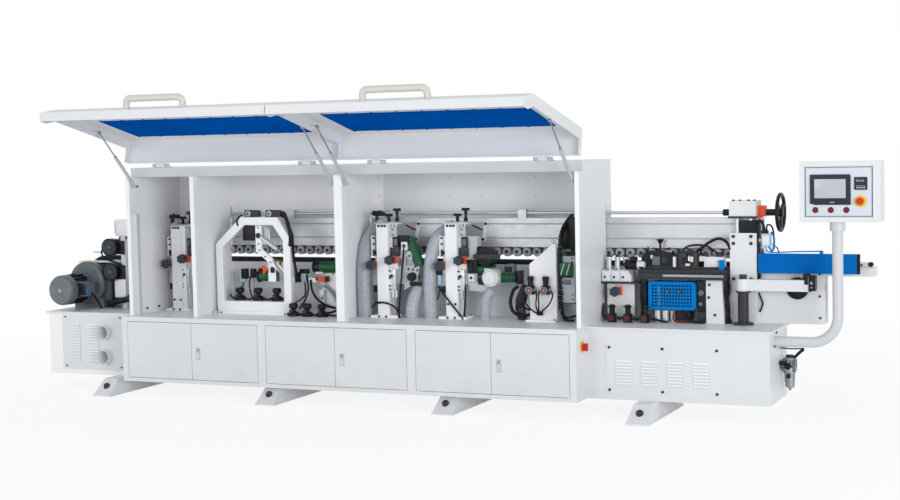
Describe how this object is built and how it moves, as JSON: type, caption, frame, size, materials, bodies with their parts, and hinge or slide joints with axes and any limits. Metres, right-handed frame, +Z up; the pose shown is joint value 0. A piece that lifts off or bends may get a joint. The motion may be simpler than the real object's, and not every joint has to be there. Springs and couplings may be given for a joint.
{
  "type": "edge banding machine",
  "caption": "Straight-line edge banding machine: cabinet with doors, lift-up lids, chain conveyor, roller pressure beam, trimming units, glue end and control panel on a bent post.",
  "frame": {"origin": "floor level, under the middle of the machine's bounding box", "axes": "+X along the machine towards the infeed end and control panel, +Y away from the operator, +Z up"},
  "size_m": [5.673, 1.4896, 1.9727],
  "materials": {
    "white_paint": "smooth powder coat",
    "black_paint": "satin",
    "motor_grey": "satin enamel",
    "motor_green": "satin enamel",
    "guard_blue": "satin enamel",
    "steel": "turned",
    "window_blue": "clear blue acrylic",
    "handle_cream": "smooth",
    "knob_slate": "moulded",
    "counter_orange": "moulded",
    "valve_black": "moulded",
    "chain_rubber": "ribbed",
    "hose_clear": "ribbed translucent",
    "button_red": "moulded",
    "stop_red": "moulded"
  },
  "bodies": {
    "frame": {"main_base": "white_paint", "left_base": "white_paint", "right_base": "white_paint", "feet": "white_paint", "vent_panels": "white_paint", "dust_ports": "white_paint", "enclosure": "white_paint", "lid_fittings": "steel", "conveyor_track": "white_paint", "conveyor_chain": "chain_rubber", "gear_motor": "motor_grey", "buffing_unit": "black_paint", "lift_columns": "white_paint", "unit_columns": "white_paint", "trim_heads": "motor_green", "corner_arch": "white_paint", "end_trim_bracket": "white_paint", "counters": "counter_orange", "air_valves": "valve_black", "dust_hoses": "hose_clear", "glue_stand": "white_paint", "glue_pot": "guard_blue", "infeed_fence": "guard_blue", "control_box": "white_paint"},
    "lid_left": {"lid_left": "white_paint", "window_left": "window_blue", "handle_left": "handle_cream"},
    "spring_cylinders_left": {"spring_cylinders_left": "black_paint"},
    "spring_rods_left": {"spring_rods_left": "steel"},
    "lid_right": {"lid_right": "white_paint", "window_right": "window_blue", "handle_right": "handle_cream"},
    "spring_cylinders_right": {"spring_cylinders_right": "black_paint"},
    "spring_rods_right": {"spring_rods_right": "steel"},
    "door_1_left": {"door_1_left": "white_paint"},
    "door_1_right": {"door_1_right": "white_paint"},
    "door_2_left": {"door_2_left": "white_paint"},
    "door_2_right": {"door_2_right": "white_paint"},
    "door_3_left": {"door_3_left": "white_paint"},
    "door_3_right": {"door_3_right": "white_paint"},
    "beam": {"pressure_beam": "white_paint", "pressure_rollers": "steel"},
    "handwheel": {"handwheel": "black_paint"},
    "drive_sprocket": {"drive_sprocket": "steel"},
    "idler_sprocket": {"idler_sprocket": "steel"},
    "tape_arm": {"tape_arm": "white_paint"},
    "main_switch": {"main_switch": "stop_red"},
    "button_1": {"button_1": "button_red"},
    "button_2": {"button_2": "button_red"},
    "button_3": {"button_3": "button_red"},
    "emergency_stop": {"emergency_stop": "stop_red"},
    "corner_arm": {"corner_arm": "white_paint"},
    "end_trim_carriage": {"end_trim_carriage": "motor_green"},
    "knob_scrape_lower": {"knob_scrape_lower": "knob_slate"},
    "knob_scrape_upper": {"knob_scrape_upper": "knob_slate"},
    "knob_fine_lower": {"knob_fine_lower": "knob_slate"},
    "knob_fine_upper": {"knob_fine_upper": "knob_slate"},
    "knob_rough_lower": {"knob_rough_lower": "knob_slate"},
    "knob_rough_upper": {"knob_rough_upper": "knob_slate"},
    "knob_glue": {"knob_glue": "knob_slate"}
  },
  "joints": [
    {"name": "lid_left_hinge", "type": "hinge", "parent": "frame", "child": "lid_left", "pos_m": [-0.4665, 0.18782, 1.534], "axis": [1, 0, 0], "range_deg": [0, 103.4]},
    {"name": "spring_left_tilt", "type": "hinge", "parent": "frame", "child": "spring_cylinders_left", "pos_m": [-0.4665, 0.15582, 1.4], "axis": [1, 0, 0], "range_deg": [-0.2, 117.6]},
    {"name": "spring_left_stroke", "type": "slide", "parent": "spring_cylinders_left", "child": "spring_rods_left", "axis": [0, -0.7178, 0.6963], "range_m": [-0.19255, 0.0002]},
    {"name": "lid_right_hinge", "type": "hinge", "parent": "frame", "child": "lid_right", "pos_m": [-0.4665, 0.18782, 1.534], "axis": [1, 0, 0], "range_deg": [0, 103.4]},
    {"name": "spring_right_tilt", "type": "hinge", "parent": "frame", "child": "spring_cylinders_right", "pos_m": [-0.4665, 0.15582, 1.4], "axis": [1, 0, 0], "range_deg": [-0.2, 117.6]},
    {"name": "spring_right_stroke", "type": "slide", "parent": "spring_cylinders_right", "child": "spring_rods_right", "axis": [0, -0.7178, 0.6963], "range_m": [-0.19255, 0.0002]},
    {"name": "door_1_left_hinge", "type": "hinge", "parent": "frame", "child": "door_1_left", "pos_m": [-2.0155, 0.03382, 0.32], "axis": [0, 0, -1], "range_deg": [0, 90]},
    {"name": "door_1_right_hinge", "type": "hinge", "parent": "frame", "child": "door_1_right", "pos_m": [-1.0335, 0.03382, 0.32], "axis": [0, 0, 1], "range_deg": [0, 90]},
    {"name": "door_2_left_hinge", "type": "hinge", "parent": "frame", "child": "door_2_left", "pos_m": [-0.9575, 0.03382, 0.32], "axis": [0, 0, -1], "range_deg": [0, 90]},
    {"name": "door_2_right_hinge", "type": "hinge", "parent": "frame", "child": "door_2_right", "pos_m": [0.0245, 0.03382, 0.32], "axis": [0, 0, 1], "range_deg": [0, 90]},
    {"name": "door_3_left_hinge", "type": "hinge", "parent": "frame", "child": "door_3_left", "pos_m": [0.1005, 0.03382, 0.32], "axis": [0, 0, -1], "range_deg": [0, 90]},
    {"name": "door_3_right_hinge", "type": "hinge", "parent": "frame", "child": "door_3_right", "pos_m": [1.0825, 0.03382, 0.32], "axis": [0, 0, 1], "range_deg": [0, 90]},
    {"name": "beam_lift", "type": "slide", "parent": "frame", "child": "beam", "axis": [0, 0, 1], "range_m": [-0.012, 0.038]},
    {"name": "handwheel_turn", "type": "hinge", "parent": "beam", "child": "handwheel", "pos_m": [2.2075, 0.62782, 1.192], "axis": [1, 0, 0], "range_deg": [-432, 1368]},
    {"name": "drive_spin", "type": "hinge", "parent": "frame", "child": "drive_sprocket", "pos_m": [-2.6265, 0.66782, 0.746], "axis": [0, 1, 0], "continuous": true},
    {"name": "idler_spin", "type": "hinge", "parent": "frame", "child": "idler_sprocket", "pos_m": [2.3065, 0.66782, 0.746], "axis": [0, 1, 0], "continuous": true},
    {"name": "tape_arm_swivel", "type": "hinge", "parent": "frame", "child": "tape_arm", "pos_m": [2.0085, 0.50982, 0.771], "axis": [0, 0, -1], "range_deg": [0, 90]},
    {"name": "main_switch_turn", "type": "hinge", "parent": "frame", "child": "main_switch", "pos_m": [1.1335, 0.13182, 0.422], "axis": [1, 0, 0], "range_deg": [0, 90]},
    {"name": "button_1_press", "type": "slide", "parent": "frame", "child": "button_1", "axis": [0, 1, 0], "range_m": [0, 0.004], "stiffness_N_per_m": 400},
    {"name": "button_2_press", "type": "slide", "parent": "frame", "child": "button_2", "axis": [0, 1, 0], "range_m": [0, 0.004], "stiffness_N_per_m": 400},
    {"name": "button_3_press", "type": "slide", "parent": "frame", "child": "button_3", "axis": [0, 1, 0], "range_m": [0, 0.004], "stiffness_N_per_m": 400},
    {"name": "emergency_stop_press", "type": "slide", "parent": "frame", "child": "emergency_stop", "axis": [0, 1, 0], "range_m": [0, 0.006], "stiffness_N_per_m": 800},
    {"name": "corner_arm_swing", "type": "hinge", "parent": "frame", "child": "corner_arm", "pos_m": [-0.9865, 0.36782, 0.763], "axis": [0, 1, 0], "range_deg": [-4, 3]},
    {"name": "end_trim_slide", "type": "slide", "parent": "frame", "child": "end_trim_carriage", "axis": [1, 0, 0], "range_m": [0, 0.06]},
    {"name": "knob_scrape_lower_turn", "type": "hinge", "parent": "frame", "child": "knob_scrape_lower", "pos_m": [-1.9695, 0.45782, 0.857], "axis": [0, 1, 0], "continuous": true},
    {"name": "knob_scrape_upper_turn", "type": "hinge", "parent": "frame", "child": "knob_scrape_upper", "pos_m": [-1.8395, 0.45782, 0.893], "axis": [0, 1, 0], "continuous": true},
    {"name": "knob_fine_lower_turn", "type": "hinge", "parent": "frame", "child": "knob_fine_lower", "pos_m": [-0.3515, 0.37282, 0.873], "axis": [0, 1, 0], "continuous": true},
    {"name": "knob_fine_upper_turn", "type": "hinge", "parent": "frame", "child": "knob_fine_upper", "pos_m": [-0.2215, 0.37282, 0.907], "axis": [0, 1, 0], "continuous": true},
    {"name": "knob_rough_lower_turn", "type": "hinge", "parent": "frame", "child": "knob_rough_lower", "pos_m": [0.1165, 0.39782, 0.873], "axis": [0, 1, 0], "continuous": true},
    {"name": "knob_rough_upper_turn", "type": "hinge", "parent": "frame", "child": "knob_rough_upper", "pos_m": [0.2465, 0.39782, 0.907], "axis": [0, 1, 0], "continuous": true},
    {"name": "knob_glue_turn", "type": "hinge", "parent": "frame", "child": "knob_glue", "pos_m": [1.2335, 0.49882, 0.72], "axis": [0, 1, 0], "continuous": true}
  ],
  "couplings": [
    {"joint": "spring_left_tilt", "follows": "lid_left_hinge", "ratio": 1.1354},
    {"joint": "spring_left_stroke", "follows": "lid_left_hinge", "m_per_rad": -0.10658},
    {"joint": "spring_right_tilt", "follows": "lid_right_hinge", "ratio": 1.1354},
    {"joint": "spring_right_stroke", "follows": "lid_right_hinge", "m_per_rad": -0.10658},
    {"joint": "beam_lift", "follows": "handwheel_turn", "m_per_rad": 0.0015915},
    {"joint": "idler_spin", "follows": "drive_spin", "ratio": 1}
  ]
}
